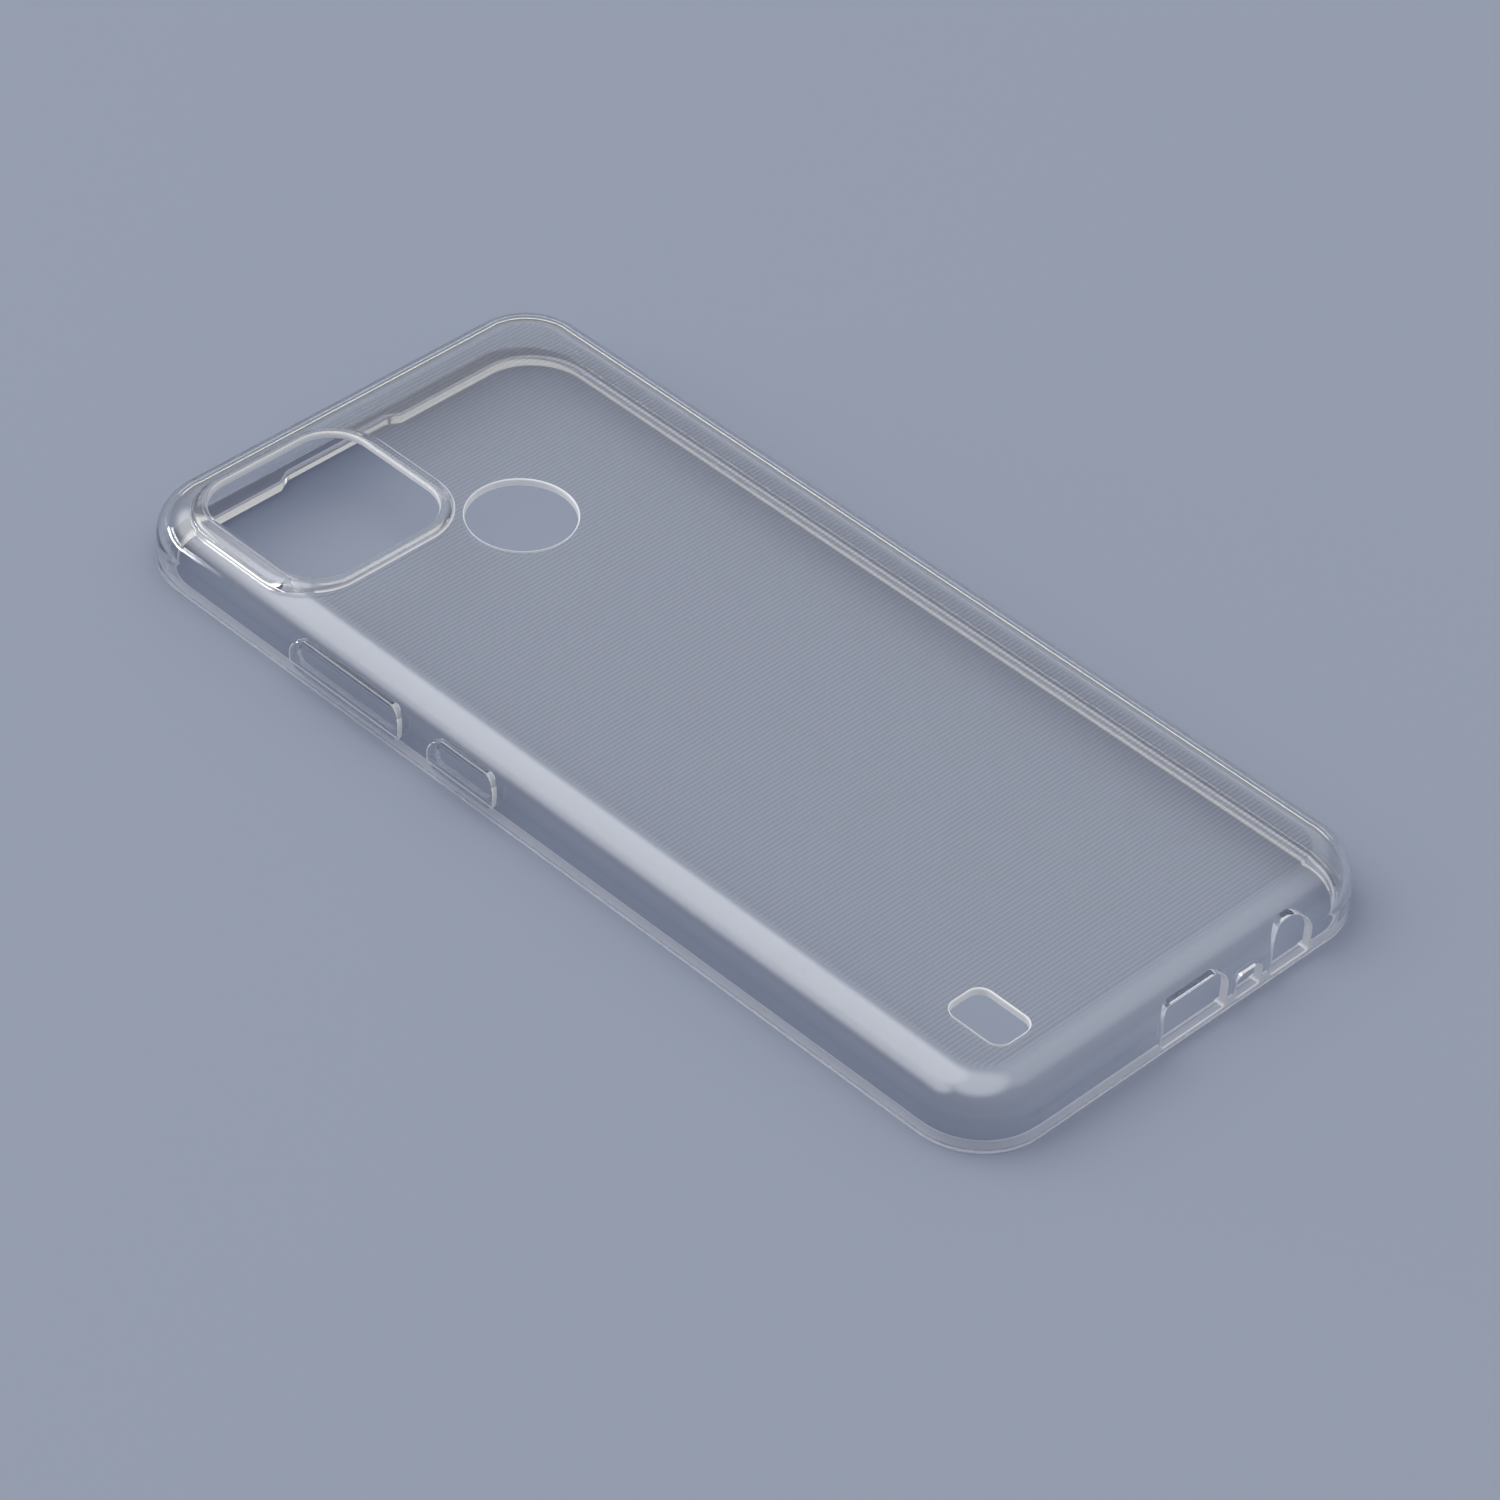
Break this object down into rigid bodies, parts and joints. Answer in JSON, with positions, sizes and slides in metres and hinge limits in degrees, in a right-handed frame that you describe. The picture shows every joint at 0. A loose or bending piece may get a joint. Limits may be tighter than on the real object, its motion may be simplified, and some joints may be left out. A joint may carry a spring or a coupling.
{
  "type": "phone case",
  "caption": "Clear soft phone case with a raised camera guard, fingerprint hole, loudspeaker slot, port cut-outs, a front retaining lip and moulded side buttons that press in.",
  "frame": {"origin": "on the surface that the case lies on, under the middle of its box", "axes": "+Y to the phone's top end, +Z out of the case's back, side buttons on the -X wall"},
  "size_m": [0.079, 0.1678, 0.0115],
  "materials": {
    "clear_back": "clear moulded polyurethane, glossy outside, fine dot texture inside",
    "clear_frame": "clear glossy moulded polyurethane",
    "clear_lip": "clear glossy moulded polyurethane",
    "clear_guard": "clear glossy moulded polyurethane",
    "clear_button": "clear glossy moulded polyurethane"
  },
  "bodies": {
    "shell": {"back_panel": "clear_back", "bumper_frame": "clear_frame", "screen_lip": "clear_lip", "camera_guard": "clear_guard"},
    "volume_button": {"volume_button": "clear_button"},
    "power_button": {"power_button": "clear_button"}
  },
  "joints": [
    {"name": "volume_rock", "type": "hinge", "parent": "shell", "child": "volume_button", "pos_m": [-0.03885, 0.0368, 0.0048], "axis": [0, 0, -1], "range_deg": [-2, 2], "stiffness_Nm_per_rad": 0.4},
    {"name": "power_press", "type": "slide", "parent": "shell", "child": "power_button", "axis": [1, 0, 0], "range_m": [0, 0.0004], "stiffness_N_per_m": 2500}
  ]
}
